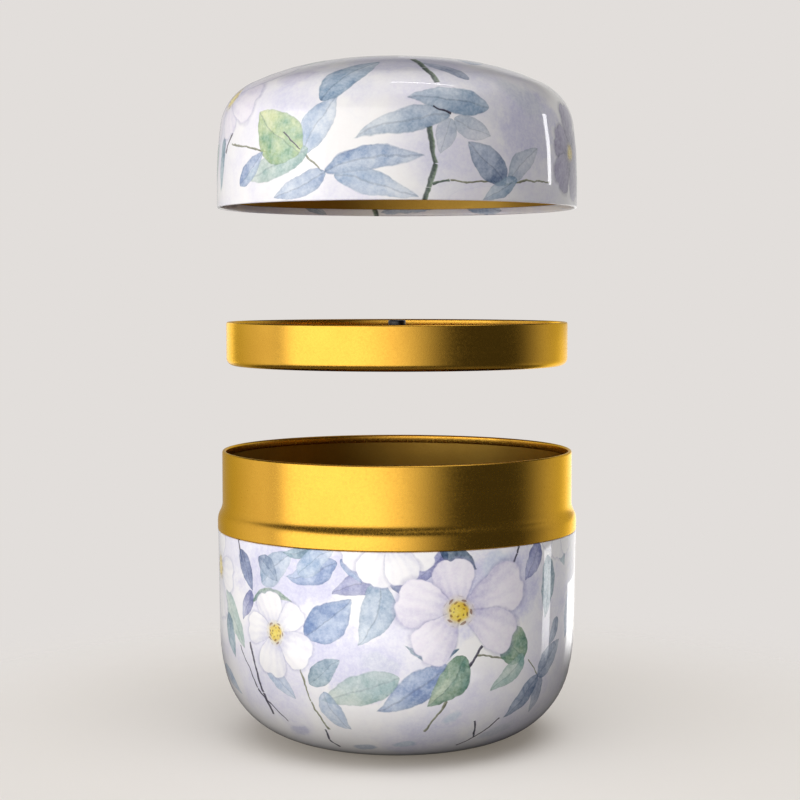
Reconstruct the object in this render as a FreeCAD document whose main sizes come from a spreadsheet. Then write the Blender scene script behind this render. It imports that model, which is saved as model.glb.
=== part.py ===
import FreeCAD, Part
import math
import os

import Sketcher

# A round-bottomed printed tin with a gold neck collar, a gold plug lid with a small
# black knob, and a printed dome lid that slips down over the neck.
#
# Row frame: millimetres, +Z up, origin on the tin's axis in the plane it stands on.
# Both lids are drawn lifted off, one above the other, and slide down to close.
# Every sheet-metal piece is a body of revolution. The bowl, the collar and the plug lid
# are revolved solid and shelled to the thickness of the sheet, and their folded edges
# are added as rings. The dome lid is revolved from the section of its sheet.

# Driving dimensions in millimetres, and one angle in degrees: alias, value, meaning.
DIMENSIONS = [
    ("tinplate", 0.25, "thickness of the sheet that every shell is drawn from"),
    ("edge_round", 0.2, "rounding of a single fold"),
    ("rim_round", 0.3, "rounding of a rolled rim"),
    # Bowl
    ("foot_radius", 14.0, "flat disc that the bowl stands on"),
    ("base_arc", 27.0, "section radius next to the foot"),
    ("base_arc_rise", 1.05, "height where the base arc meets the corner arc"),
    ("corner_arc", 16.0, "section radius of the round corner"),
    ("side_arc", 34.5, "section radius that runs out into the side wall"),
    ("wall_draft", 0.8, "outward lean of the side wall, in degrees"),
    ("bowl_radius", 33.85, "outside of the bowl at the seam"),
    ("seam_height", 39.6, "height of the seam between bowl and collar"),
    ("lip_radius", 33.35, "outside of the bowl's lip, which stands inside the collar"),
    ("lip_rise", 1.6, "height of that lip above the seam"),
    # Neck collar, heights from the seam
    ("bead_radius", 33.9, "outside of the collar's widest band"),
    ("bead_rise", 1.7, "top of the widest band"),
    ("shoulder_rise", 5.2, "top of the S-shaped shoulder"),
    ("neck_radius", 33.0, "outside of the straight neck"),
    ("collar_rise", 14.8, "height of the collar"),
    ("mouth_radius", 32.3, "inside of the rolled rim"),
    ("mouth_roll", 1.6, "depth of the rolled rim"),
    ("curl_radius", 33.4, "inside of the collar's folded lower edge"),
    ("curl_rise", 1.0, "height of the folded lower edge"),
    # Plug lid, heights from its underside
    ("plug_radius", 32.1, "outside of the plug lid"),
    ("plug_rise", 8.1, "height of the plug lid"),
    ("plug_corner", 1.4, "outside radius of its bottom corner"),
    ("plug_mouth_radius", 31.45, "inside of its rolled rim"),
    ("plug_roll", 1.5, "depth of its rolled rim"),
    ("rib_radius", 22.0, "middle of the stiffening rib pressed in its floor"),
    ("rib_half_width", 1.3, "half the width of the rib"),
    ("rib_rise", 0.5, "height of the rib"),
    ("rivet_hole_radius", 0.65, "hole in the floor for the rivet"),
    # Knob, heights from the floor of the plug lid
    ("knob_foot_radius", 4.2, "outside of the knob's foot"),
    ("knob_foot_rise", 0.9, "thickness of the foot"),
    ("knob_waist_radius", 1.25, "thinnest part of the stem"),
    ("knob_waist_rise", 4.6, "height where the stem starts to widen"),
    ("knob_head_radius", 1.65, "outside of the head"),
    ("knob_head_rise", 6.2, "height where the head reaches its full width"),
    ("knob_rise", 8.15, "height of the knob"),
    ("knob_bore_radius", 0.62, "blind bore for the rivet"),
    ("knob_bore_rise", 5.0, "depth of that bore"),
    # Rivet, heights from the underside of its head
    ("rivet_radius", 0.6, "shank"),
    ("rivet_rise", 5.6, "length of the rivet"),
    ("rivet_head_radius", 1.9, "head, which lies under the floor"),
    ("rivet_head_rise", 0.6, "thickness of the head"),
    # Dome lid, heights from its lower edge
    ("dome_radius", 33.7, "outside of the dome lid"),
    ("dome_rise", 27.7, "height of the dome lid"),
    ("crown_arc", 103.0, "section radius of the crown"),
    ("crown_reach", 14.5, "distance from the axis where the crown ends"),
    ("slope_arc", 44.0, "section radius between the crown and the edge"),
    ("slope_reach", 27.8, "distance from the axis where the slope ends"),
    ("edge_arc", 9.5, "section radius of the turned-down edge"),
    ("wall_arc", 68.0, "section radius that runs out into the straight wall"),
    ("hem_radius", 33.2, "inside of the folded lower edge"),
    ("hem_rise", 1.4, "height of that fold"),
    # The lifted lids
    ("plug_lift", 70.4, "underside of the plug lid above the ground"),
    ("dome_lift", 99.7, "lower edge of the dome lid above the ground"),
]

ALIASES = {alias for alias, value, meaning in DIMENSIONS}
START, END, CENTRE = 1, 2, 3
ORIGIN = -1
HORIZONTAL_AXIS = -1
VERTICAL_AXIS = -2
CLOSE = 1e-4

doc = FreeCAD.newDocument("spice_tin")
sheet = doc.addObject("Spreadsheet::Sheet", "Dimensions")


def fill_sheet():
    for row, (alias, value, meaning) in enumerate(DIMENSIONS, start=1):
        sheet.set(f"A{row}", meaning)
        sheet.set(f"B{row}", str(value))
        sheet.setAlias(f"B{row}", alias)
    doc.recompute()


def expression(formula):
    """The formula with each alias in it read from the sheet. Its words have spaces between them."""
    return " ".join(f"Dimensions.{word}" if word in ALIASES else word for word in formula.split())


def value(formula):
    """The formula's present value, for drawing a sketch before its constraints are set."""
    return float(sheet.evalExpression(expression(formula)))


class Outline:
    """A closed outline in a body's XZ plane. x is the distance from the axis, y the height."""

    def __init__(self, body, name):
        self.sketch = body.newObject("Sketcher::SketchObject", name)
        self.sketch.AttachmentSupport = [(origin_plane(body, "XZ_Plane"), "")]
        self.sketch.MapMode = "FlatFace"

    def rule(self, *words):
        return self.sketch.addConstraint(Sketcher.Constraint(*words))

    def size(self, formula, *words):
        """A dimension bound to the sheet."""
        index = self.rule(*words)
        name = f"size_{index}"
        self.sketch.renameConstraint(index, name)
        self.sketch.setExpression(f"Constraints.{name}", expression(formula))

    def place(self, piece, point, across, up):
        """Sets a point's distance from the axis and its height. None leaves one of them free."""
        for kind, formula, zero_line in (
            ("DistanceX", across, VERTICAL_AXIS),
            ("DistanceY", up, HORIZONTAL_AXIS),
        ):
            if formula == "0":
                self.rule("PointOnObject", piece, point, zero_line)
            elif formula is not None:
                self.size(formula, kind, ORIGIN, START, piece, point, value(formula))

    def radius(self, piece, formula):
        self.size(formula, "Radius", piece, value(formula))

    def line(self, start, end):
        ends = [FreeCAD.Vector(value(across), value(up), 0) for across, up in (start, end)]
        return self.sketch.addGeometry(Part.LineSegment(*ends), False)

    def arc(self, centre, radius, start, end):
        """An arc, with its angles in degrees."""
        circle = Part.Circle(FreeCAD.Vector(*centre, 0), FreeCAD.Vector(0, 0, 1), radius)
        ends = math.radians(start), math.radians(end)
        return self.sketch.addGeometry(Part.ArcOfCircle(circle, *ends), False)

    def arcs(self, centre, start, steps):
        """Arcs that run smoothly into each other. A step is a radius and the angle it ends at."""
        pieces = []
        across, up = centre
        last_radius = value(steps[0][0])
        angle = start
        for formula, end in steps:
            radius = value(formula)
            across += (last_radius - radius) * math.cos(math.radians(angle))
            up += (last_radius - radius) * math.sin(math.radians(angle))
            pieces.append(self.arc((across, up), radius, angle, end))
            last_radius, angle = radius, end
        for first, second in zip(pieces, pieces[1:]):
            self.blend(first, END, second, START)
        return pieces

    def join(self, first, first_point, second, second_point):
        self.rule("Coincident", first, first_point, second, second_point)

    def blend(self, first, first_point, second, second_point):
        """Joins two pieces so that they run smoothly into each other."""
        self.rule("Tangent", first, first_point, second, second_point)

    def polyline(self, corners):
        """Straight lines from corner to corner, with every corner but the first one placed."""
        lines = [self.line(start, end) for start, end in zip(corners, corners[1:])]
        for first, second in zip(lines, lines[1:]):
            self.join(first, END, second, START)
        for line, (across, up) in zip(lines, corners[1:]):
            self.place(line, END, across, up)
        return lines

    def polygon(self, corners):
        lines = self.polyline(corners + corners[:1])
        self.join(lines[-1], END, lines[0], START)


def origin_plane(body, role):
    return next(plane for plane in body.Origin.OriginFeatures if plane.Role == role)


def new_body(name, lift="0"):
    """A body that stands at a height taken from the sheet."""
    body = doc.addObject("PartDesign::Body", name)
    body.Label = name
    body.setExpression("Placement.Base.z", expression(lift))
    return body


def turned(body, kind, name, outline):
    """Revolves an outline about the body's axis, to add to the body or to cut from it."""
    doc.recompute()
    before = body.Shape.Volume if body.Tip else 0.0
    feature = body.newObject(f"PartDesign::{kind}", name)
    feature.Profile = outline.sketch
    feature.ReferenceAxis = (outline.sketch, ["V_Axis"])
    feature.Angle = 360.0
    doc.recompute()
    check_change(body, name, before, grows=kind == "Revolution")
    return feature


def ring(body, name, inside, outside, bottom, top):
    """A folded edge: a plain ring of metal, given by its radii and heights."""
    outline = Outline(body, f"{name}_outline")
    outline.polygon([(inside, bottom), (outside, bottom), (outside, top), (inside, top)])
    return turned(body, "Revolution", name, outline)


def shelled(body, feature, name, open_heights):
    """Hollows the body to the thickness of the sheet, open at the flat faces at these heights."""
    before = body.Shape.Volume
    faces = [flat_face(feature.Shape, value(formula)) for formula in open_heights]
    shell = body.newObject("PartDesign::Thickness", name)
    shell.Base = (feature, faces)
    shell.Reversed = True
    shell.Mode = "Skin"
    shell.Join = "Arc"
    shell.setExpression("Value", expression("tinplate"))
    doc.recompute()
    check_change(body, name, before, grows=False)
    return shell


def rounded(body, feature, name, radius, edges):
    """Rounds circular edges, each given by its radius and height."""
    names = [round_edge(feature.Shape, value(across), value(up)) for across, up in edges]
    fillet = body.newObject("PartDesign::Fillet", name)
    fillet.Base = (feature, names)
    fillet.setExpression("Radius", expression(radius))
    doc.recompute()
    return fillet


def flat_face(shape, height):
    for index, face in enumerate(shape.Faces, start=1):
        if isinstance(face.Surface, Part.Plane) and abs(face.CenterOfMass.z - height) < CLOSE:
            return f"Face{index}"
    raise ValueError(f"no flat face at height {height}")


def round_edge(shape, radius, height):
    for index, edge in enumerate(shape.Edges, start=1):
        circle = edge.Curve
        if not isinstance(circle, Part.Circle):
            continue
        if abs(circle.Radius - radius) < CLOSE and abs(circle.Center.z - height) < CLOSE:
            return f"Edge{index}"
    raise ValueError(f"no round edge of radius {radius} at height {height}")


def check_change(body, name, before, grows):
    """Stops if a feature that should add metal, or take it away, did not."""
    change = body.Shape.Volume - before
    if change <= 0 if grows else change >= 0:
        raise ValueError(f"{body.Label}.{name} changed the volume by {change:.3f}")


def make_bowl():
    """The printed bowl, with a lip at the top that stands inside the collar."""
    body = new_body("tin_bowl")
    outline = Outline(body, "bowl_outline")
    lip_top = "seam_height + lip_rise"
    foot = outline.line(("0", "0"), ("foot_radius", "0"))
    base_end = math.degrees(math.acos(1 - value("base_arc_rise") / value("base_arc")))
    # Where the corner and side arcs end is a first guess, which the constraints correct.
    steps = [("base_arc", base_end - 90), ("corner_arc", -15), ("side_arc", -1)]
    centre = value("foot_radius"), value("base_arc")
    round_part = outline.arcs(centre, -90, steps)
    for arc, (radius, end) in zip(round_part, steps):
        outline.radius(arc, radius)
    base, corner, side = round_part
    wall = outline.line(("bowl_radius", "seam_height / 2"), ("bowl_radius", "seam_height"))
    corners = [("bowl_radius", "seam_height"), ("lip_radius", "seam_height")]
    corners += [("lip_radius", lip_top), ("0", lip_top), ("0", "0")]
    upper = outline.polyline(corners)
    outline.place(foot, START, "0", "0")
    outline.place(foot, END, "foot_radius", None)
    outline.rule("Horizontal", foot)
    outline.blend(foot, END, base, START)
    outline.place(base, END, None, "base_arc_rise")
    outline.blend(side, END, wall, START)
    outline.place(wall, END, "bowl_radius", "seam_height")
    outline.size("90 deg - wall_draft * 1 deg", "Angle", wall, math.radians(90))
    outline.join(wall, END, upper[0], START)
    solid = turned(body, "Revolution", "bowl_outside", outline)
    shell = shelled(body, solid, "bowl_shell", [lip_top])
    rounded(body, shell, "seam_edge", "edge_round", [("bowl_radius", "seam_height")])
    return body


def make_collar():
    """The gold collar: a bead above the seam, an S-shaped shoulder and the straight neck."""
    body = new_body("neck_collar", "seam_height")
    outline = Outline(body, "collar_outline")
    bead = [("0", "0"), ("bead_radius", "0"), ("bead_radius", "bead_rise")]
    neck = [("neck_radius", "shoulder_rise"), ("neck_radius", "collar_rise")]
    neck += [("0", "collar_rise"), ("0", "0")]
    lower = outline.polyline(bead)
    upper = outline.polyline(neck)
    height = value("shoulder_rise - bead_rise")
    step = value("bead_radius - neck_radius")
    radius = (height**2 + step**2) / (4 * step)
    turn = math.degrees(math.asin(height / 2 / radius))
    low_centre = value("bead_radius") - radius, value("bead_rise")
    high_centre = value("neck_radius") + radius, value("shoulder_rise")
    low = outline.arc(low_centre, radius, 0, turn)
    high = outline.arc(high_centre, radius, 180, 180 + turn)
    outline.place(upper[0], START, "neck_radius", "shoulder_rise")
    outline.blend(lower[1], END, low, START)
    outline.blend(low, END, high, END)
    outline.blend(high, START, upper[0], START)
    outline.rule("Equal", low, high)
    outline.join(upper[-1], END, lower[0], START)
    solid = turned(body, "Revolution", "collar_outside", outline)
    shelled(body, solid, "collar_shell", ["0", "collar_rise"])
    ring(
        body, "mouth_roll_ring", "mouth_radius", "neck_radius - tinplate / 2",
        "collar_rise - mouth_roll", "collar_rise",
    )
    curl = ring(body, "curl_ring", "curl_radius", "bead_radius - tinplate / 2", "0", "curl_rise")
    rim_edges = [("neck_radius", "collar_rise"), ("mouth_radius", "collar_rise")]
    rim = rounded(body, curl, "rim_edges", "rim_round", rim_edges)
    curl_edges = [("bead_radius", "0"), ("curl_radius", "0")]
    rounded(body, rim, "curl_edges", "edge_round", curl_edges)
    return body


def make_plug_cup():
    """The plug lid: a shallow dish with a rolled rim, a rib in its floor and a rivet hole."""
    body = new_body("inner_lid_cup", "plug_lift")
    outline = Outline(body, "plug_outline")
    corners = [("0", "0"), ("plug_radius", "0"), ("plug_radius", "plug_rise"), ("0", "plug_rise")]
    outline.polygon(corners)
    solid = turned(body, "Revolution", "plug_outside", outline)
    corner = rounded(body, solid, "plug_bottom_corner", "plug_corner", [("plug_radius", "0")])
    shelled(body, corner, "plug_shell", ["plug_rise"])
    rim = ring(
        body, "plug_roll_ring", "plug_mouth_radius", "plug_radius - tinplate / 2",
        "plug_rise - plug_roll", "plug_rise",
    )
    edges = [("plug_radius", "plug_rise"), ("plug_mouth_radius", "plug_rise")]
    rounded(body, rim, "plug_rim_edges", "rim_round", edges)
    turned(body, "Revolution", "rib_ridge", rib_outline(body, "rib_ridge_outline", "tinplate"))
    turned(body, "Groove", "rib_hollow", rib_outline(body, "rib_hollow_outline", "0"))
    hole = Outline(body, "rivet_hole_outline")
    edge = "rivet_hole_radius"
    hole.polygon([("0", "0"), (edge, "0"), (edge, "tinplate"), ("0", "tinplate")])
    turned(body, "Groove", "rivet_hole", hole)
    return body


def rib_outline(body, name, base):
    """A low arch over the floor, which stands on the height named by base."""
    outline = Outline(body, name)
    inside, outside = "rib_radius - rib_half_width", "rib_radius + rib_half_width"
    chord = outline.line((inside, base), (outside, base))
    formula = "( rib_half_width * rib_half_width + rib_rise * rib_rise ) / ( 2 * rib_rise )"
    radius = value(formula)
    half_turn = math.degrees(math.asin(value("rib_half_width") / radius))
    centre = value("rib_radius"), value(f"{base} + rib_rise") - radius
    arch = outline.arc(centre, radius, 90 - half_turn, 90 + half_turn)
    outline.place(chord, START, inside, base)
    outline.place(chord, END, outside, base)
    outline.join(arch, START, chord, END)
    outline.join(arch, END, chord, START)
    outline.radius(arch, formula)
    return outline


def make_knob():
    """The black knob: a round foot, a slim stem and a slightly wider head."""
    body = new_body("inner_lid_knob", "plug_lift + tinplate")
    outline = Outline(body, "knob_outline")
    outline.polygon([
        ("knob_bore_radius", "0"),
        ("knob_foot_radius", "0"),
        ("knob_foot_radius", "knob_foot_rise"),
        ("knob_waist_radius", "knob_foot_rise"),
        ("knob_waist_radius", "knob_waist_rise"),
        ("knob_head_radius", "knob_head_rise"),
        ("knob_head_radius", "knob_rise"),
        ("0", "knob_rise"),
        ("0", "knob_bore_rise"),
        ("knob_bore_radius", "knob_bore_rise"),
    ])
    solid = turned(body, "Revolution", "knob_turned", outline)
    edges = [("knob_foot_radius", "knob_foot_rise"), ("knob_waist_radius", "knob_foot_rise")]
    edges += [("knob_head_radius", "knob_rise")]
    rounded(body, solid, "knob_edges", "rim_round", edges)
    return body


def make_rivet():
    """The rivet that holds the knob, pushed up through the floor into the knob's bore."""
    body = new_body("knob_rivet", "plug_lift - rivet_head_rise")
    outline = Outline(body, "rivet_outline")
    outline.polygon([
        ("0", "0"),
        ("rivet_head_radius", "0"),
        ("rivet_head_radius", "rivet_head_rise"),
        ("rivet_radius", "rivet_head_rise"),
        ("rivet_radius", "rivet_rise"),
        ("0", "rivet_rise"),
    ])
    solid = turned(body, "Revolution", "rivet_turned", outline)
    rounded(body, solid, "rivet_head_edge", "rim_round", [("rivet_head_radius", "0")])
    return body


def make_dome():
    """The printed dome lid, as the section of its sheet. Its lower edge is folded inwards."""
    body = new_body("outer_lid", "dome_lift")
    outline = Outline(body, "dome_section")
    inside = "dome_radius - tinplate"
    crown_start = math.degrees(math.acos(value("crown_reach") / value("crown_arc")))
    # The top of the wall and the ends of its arc and of the edge are first guesses, which
    # the constraints correct.
    wall_top = "dome_rise / 5"
    steps = [("wall_arc", 8.5), ("edge_arc", 64), ("slope_arc", crown_start), ("crown_arc", 90)]
    centre = value("dome_radius - wall_arc"), value(wall_top)
    outer = outline.arcs(centre, 0, steps)
    for arc, (radius, end) in zip(outer, steps):
        outline.radius(arc, radius)
    inner = outline.arcs(centre, 0, [(f"{radius} - tinplate", end) for radius, end in steps])
    for outer_arc, inner_arc in zip(outer, inner):
        outline.join(outer_arc, CENTRE, inner_arc, CENTRE)
    outer_wall = outline.line(("dome_radius", "0"), ("dome_radius", wall_top))
    inner_wall = outline.line((inside, "hem_rise"), (inside, wall_top))
    for wall, arcs in ((outer_wall, outer), (inner_wall, inner)):
        outline.rule("Vertical", wall)
        outline.blend(wall, END, arcs[0], START)
    fold = [(inside, "hem_rise"), ("hem_radius", "hem_rise"), ("hem_radius", "0")]
    hem = outline.polyline(fold + [("dome_radius", "0")])
    outline.place(inner_wall, START, inside, "hem_rise")
    outline.join(inner_wall, START, hem[0], START)
    outline.join(hem[-1], END, outer_wall, START)
    slope, crown = outer[2:]
    outline.place(slope, START, "slope_reach", None)
    outline.place(crown, START, "crown_reach", None)
    outline.rule("PointOnObject", crown, CENTRE, VERTICAL_AXIS)
    outline.place(crown, END, "0", "dome_rise")
    top = outline.line(("0", "dome_rise"), ("0", "dome_rise - tinplate"))
    outline.rule("PointOnObject", inner[-1], END, VERTICAL_AXIS)
    outline.join(crown, END, top, START)
    outline.join(inner[-1], END, top, END)
    solid = turned(body, "Revolution", "dome_sheet", outline)
    edges = [("dome_radius", "0"), ("hem_radius", "0")]
    rounded(body, solid, "hem_edges", "edge_round", edges)
    return body


def check_document(bodies):
    """Stops if any object failed, any sketch is loose or any sub-part is not one sound solid."""
    for item in doc.Objects:
        if "Invalid" in item.State or "Error" in item.State:
            raise ValueError(f"{item.Label} failed: {item.State}")
        if item.TypeId == "Sketcher::SketchObject" and item.solve() != 0:
            raise ValueError(f"{item.Label} does not solve")
    for body in bodies:
        shape = body.Shape
        if shape.isNull() or not shape.isValid() or len(shape.Solids) != 1:
            raise ValueError(f"{body.Label} is not one valid solid")


fill_sheet()
sub_parts = [make_bowl(), make_collar(), make_plug_cup(), make_knob(), make_rivet(), make_dome()]
doc.recompute()
check_document(sub_parts)
os.makedirs("parts", exist_ok=True)
for sub_part in sub_parts:
    sub_part.Shape.exportStep(f"parts/{sub_part.Label}.step")
    box = sub_part.Shape.BoundBox
    print(f"{sub_part.Label}: {sub_part.Shape.Volume:.1f} mm3, z {box.ZMin:.2f} to {box.ZMax:.2f}")
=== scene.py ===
import math
from collections import namedtuple

import bmesh
import bpy
from mathutils import Euler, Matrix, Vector


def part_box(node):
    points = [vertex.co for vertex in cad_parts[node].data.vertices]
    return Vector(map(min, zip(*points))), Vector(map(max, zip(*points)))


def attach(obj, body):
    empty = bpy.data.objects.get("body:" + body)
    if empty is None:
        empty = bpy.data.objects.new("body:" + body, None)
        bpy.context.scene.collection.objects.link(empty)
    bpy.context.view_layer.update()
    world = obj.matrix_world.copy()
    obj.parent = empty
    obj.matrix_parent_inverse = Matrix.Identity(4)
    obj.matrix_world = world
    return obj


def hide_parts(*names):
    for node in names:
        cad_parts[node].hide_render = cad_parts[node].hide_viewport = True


# The looks of a printed tin with a gold collar, a gold plug lid and a printed dome lid.
# Each sheet-metal piece is turned again from a finer section of its sheet, with real
# folds and rolls, and stands for its CAD node. Sections are drawn in millimetres from
# the lower edge of their piece. Everything in Blender is in metres.

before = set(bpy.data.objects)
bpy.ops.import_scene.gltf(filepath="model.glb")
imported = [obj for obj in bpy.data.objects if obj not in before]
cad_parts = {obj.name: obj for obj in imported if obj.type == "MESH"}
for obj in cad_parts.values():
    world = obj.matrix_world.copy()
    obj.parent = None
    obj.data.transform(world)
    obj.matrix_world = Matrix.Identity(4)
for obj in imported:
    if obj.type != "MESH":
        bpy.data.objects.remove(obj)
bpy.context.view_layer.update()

MM = 0.001
AROUND = 192          # faces around each turned piece
ARC_STEP = 5          # degrees between two points of a large arc
FOLD_STEP = 20        # degrees between two points of a fold
SHARP = math.radians(50)
SHOULDER_STEPS, RIB_STEPS = 8, 6
ON_AXIS = 1e-6        # millimetres: a point no further out than this is on the axis
DECIMALS = 5          # of a millimetre, to which two points of a section are the same one
FACE, LINING = 0, 1   # material slots: the outside of a shell and its inside

# Section sizes in millimetres. They repeat the driving dimensions of the CAD model.
TINPLATE = 0.25
BOWL_RADIUS, BOWL_FOOT, BOWL_SEAM = 33.85, 14, 39.6
BOWL_BASE_ARC, BOWL_BASE_RISE, BOWL_CORNER_ARC, BOWL_SIDE_ARC = 27, 1.05, 16, 34.5
BOWL_DRAFT = 0.8      # degrees
LIP_RADIUS, LIP_RISE = 33.35, 1.6
BEAD_RADIUS, BEAD_RISE, SHOULDER_RISE = 33.9, 1.7, 5.2
NECK_RADIUS, COLLAR_RISE = 33, 14.8
MOUTH_RADIUS, MOUTH_ROLL = 32.3, 1.6
CURL_RADIUS, CURL_RISE = 33.4, 1
PLUG_RADIUS, PLUG_RISE, PLUG_CORNER = 32.1, 8.1, 1.4
PLUG_MOUTH_RADIUS, PLUG_ROLL = 31.45, 1.5
RIB_RADIUS, RIB_HALF_WIDTH, RIB_RISE = 22, 1.3, 0.5
RIVET_HOLE = 0.65
DOME_RADIUS, DOME_RISE = 33.7, 27.7
CROWN_ARC, CROWN_REACH, SLOPE_ARC, SLOPE_REACH = 103, 14.5, 44, 27.8
EDGE_ARC, WALL_ARC = 9.5, 68
HEM_RADIUS, HEM_RISE = 33.2, 1.4
FOLD_ROUND = 0.2      # outside of a single fold
BEVEL = 0.05          # on the corners of the bowl's lip
WALL_EASE = 0.01      # how far the top of the bowl's inner wall stands in from its draft
KNOB_FOOT, KNOB_FOOT_RISE, KNOB_WAIST, KNOB_WAIST_RISE = 4.2, 0.9, 1.25, 4.6
KNOB_HEAD, KNOB_HEAD_RISE, KNOB_RISE = 1.65, 6.2, 8.15
KNOB_BORE, KNOB_BORE_RISE, KNOB_ROUND, KNOB_BEVEL = 0.62, 5, 0.3, 0.1
RIVET_RADIUS, RIVET_RISE, RIVET_HEAD, RIVET_HEAD_RISE = 0.6, 5.6, 1.9, 0.6
RIVET_ROUND, RIVET_HOLLOW, RIVET_HOLLOW_RISE = 0.25, 1, 0.08


# Sections

def arc(centre, radius, start, end, step=ARC_STEP):
    """Points along an arc in the section. Its angles are in degrees from outwards to up."""
    count = max(2, math.ceil(abs(end - start) / step))
    turns = [math.radians(start + (end - start) * i / count) for i in range(count + 1)]
    return [(centre[0] + radius * math.cos(a), centre[1] + radius * math.sin(a)) for a in turns]


def centre_after(centre, radius, next_radius, angle):
    """The centre of an arc that runs on smoothly from another one at this angle."""
    shift, turn = radius - next_radius, math.radians(angle)
    return centre[0] + shift * math.cos(turn), centre[1] + shift * math.sin(turn)


def bowl_arcs():
    """The bowl's three arcs, from the foot to the wall: centre, radius, start and end."""
    base_end = math.degrees(math.acos(1 - BOWL_BASE_RISE / BOWL_BASE_ARC)) - 90
    base = BOWL_FOOT, BOWL_BASE_ARC
    corner = centre_after(base, BOWL_BASE_ARC, BOWL_CORNER_ARC, base_end)
    lean = math.radians(BOWL_DRAFT)
    reach = (BOWL_RADIUS - corner[0]) * math.cos(lean) - (BOWL_SEAM - corner[1]) * math.sin(lean)
    turn = math.acos((BOWL_SIDE_ARC - reach) / (BOWL_SIDE_ARC - BOWL_CORNER_ARC))
    corner_end = -math.degrees(turn) - BOWL_DRAFT
    side = centre_after(corner, BOWL_CORNER_ARC, BOWL_SIDE_ARC, corner_end)
    return [
        (base, BOWL_BASE_ARC, -90, base_end),
        (corner, BOWL_CORNER_ARC, base_end, corner_end),
        (side, BOWL_SIDE_ARC, corner_end, -BOWL_DRAFT),
    ]


def dome_arcs():
    """The dome's four arcs, from the wall to the crown: centre, radius, start and end."""
    crown = 0, DOME_RISE - CROWN_ARC
    crown_start = math.degrees(math.acos(CROWN_REACH / CROWN_ARC))
    slope = centre_after(crown, CROWN_ARC, SLOPE_ARC, crown_start)
    slope_start = math.degrees(math.acos((SLOPE_REACH - slope[0]) / SLOPE_ARC))
    edge = centre_after(slope, SLOPE_ARC, EDGE_ARC, slope_start)
    wall_across = DOME_RADIUS - WALL_ARC
    edge_start = math.degrees(math.acos((edge[0] - wall_across) / (WALL_ARC - EDGE_ARC)))
    wall = centre_after(edge, EDGE_ARC, WALL_ARC, edge_start)
    return [
        (wall, WALL_ARC, 0, edge_start),
        (edge, EDGE_ARC, edge_start, slope_start),
        (slope, SLOPE_ARC, slope_start, crown_start),
        (crown, CROWN_ARC, crown_start, 90),
    ]


def along_arcs(arcs, inset=0):
    """Points along arcs that run into each other, or along the same arcs further in."""
    points = []
    for centre, radius, start, end in arcs:
        points += arc(centre, radius - inset, start, end)
    return points


def rolled_rim(outside, inside, top, roll, wall):
    """The top of a sheet that goes up outside, rolls over and comes down inside its own wall."""
    half = (outside - inside) / 2
    over = arc((outside - half, top - half), half, 0, 180, FOLD_STEP)
    tuck = (wall - inside) / 2
    under = arc((inside + tuck, top - roll + tuck), tuck, 180, 360, FOLD_STEP)
    return over + under


def rolled_edge(outside, inside, top):
    """The raw edge of a sheet, with its corners worn round."""
    half = (outside - inside) / 2
    return arc((outside - half, top - half), half, 0, 180, 2 * FOLD_STEP)


def bowl_section():
    """The bowl's wall and round base, and the lip that stands inside the collar."""
    arcs = bowl_arcs()
    lean = math.radians(BOWL_DRAFT)
    shoulder = BOWL_RADIUS - FOLD_ROUND, BOWL_SEAM - FOLD_ROUND
    outside = [(0, 0), (BOWL_FOOT / 2, 0)] + along_arcs(arcs)
    outside += arc(shoulder, FOLD_ROUND, -BOWL_DRAFT, 90, FOLD_STEP)
    lip_top = BOWL_SEAM + LIP_RISE
    inner_lip = LIP_RADIUS - TINPLATE
    ledge = BOWL_SEAM - TINPLATE
    inner_wall = BOWL_RADIUS - TINPLATE / math.cos(lean)
    inside = [outside[-1], (LIP_RADIUS + BEVEL, BOWL_SEAM), (LIP_RADIUS, BOWL_SEAM + BEVEL)]
    inside += rolled_edge(LIP_RADIUS, inner_lip, lip_top)
    inside += [(inner_lip, ledge + BEVEL), (inner_lip + BEVEL, ledge)]
    inside.append((BOWL_RADIUS - TINPLATE - 2 * BEVEL, ledge))
    inside.append((inner_wall - WALL_EASE, ledge - 2 * BEVEL))
    inside += along_arcs(arcs, TINPLATE)[::-1] + [(0, TINPLATE)]
    return [(FACE, outside), (LINING, inside)]


def collar_section():
    """The folded lower edge, the bead, the S-shaped shoulder, the neck and its rolled rim."""
    step, height = BEAD_RADIUS - NECK_RADIUS, SHOULDER_RISE - BEAD_RISE
    radius = (height**2 + step**2) / (4 * step)
    turn = math.degrees(math.asin(height / 2 / radius))
    low, high = (BEAD_RADIUS - radius, BEAD_RISE), (NECK_RADIUS + radius, SHOULDER_RISE)
    fine = turn / SHOULDER_STEPS
    curl = (BEAD_RADIUS - CURL_RADIUS) / 2
    outside = arc((BEAD_RADIUS - curl, curl), curl, 180, 360, FOLD_STEP)
    outside += arc(low, radius, 0, turn, fine) + arc(high, radius, 180 + turn, 180, fine)
    wall = NECK_RADIUS - TINPLATE
    rim = rolled_rim(NECK_RADIUS, MOUTH_RADIUS, COLLAR_RISE, MOUTH_ROLL, wall)
    inside = arc(high, radius + TINPLATE, 180, 180 + turn, fine)
    inside += arc(low, radius - TINPLATE, turn, 0, fine)
    tuck = (BEAD_RADIUS - TINPLATE - CURL_RADIUS) / 2
    end = arc((CURL_RADIUS + tuck, CURL_RISE - tuck), tuck, 0, 180, FOLD_STEP)
    return [(FACE, outside + rim), (LINING, rim[-1:] + inside + end + outside[:1])]


def rib(base):
    """The stiffening rib as it crosses the floor's upper or lower face."""
    radius = (RIB_HALF_WIDTH**2 + RIB_RISE**2) / (2 * RIB_RISE)
    turn = math.degrees(math.asin(RIB_HALF_WIDTH / radius))
    centre = RIB_RADIUS, base + RIB_RISE - radius
    return arc(centre, radius, 90 - turn, 90 + turn, turn / RIB_STEPS)


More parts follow.
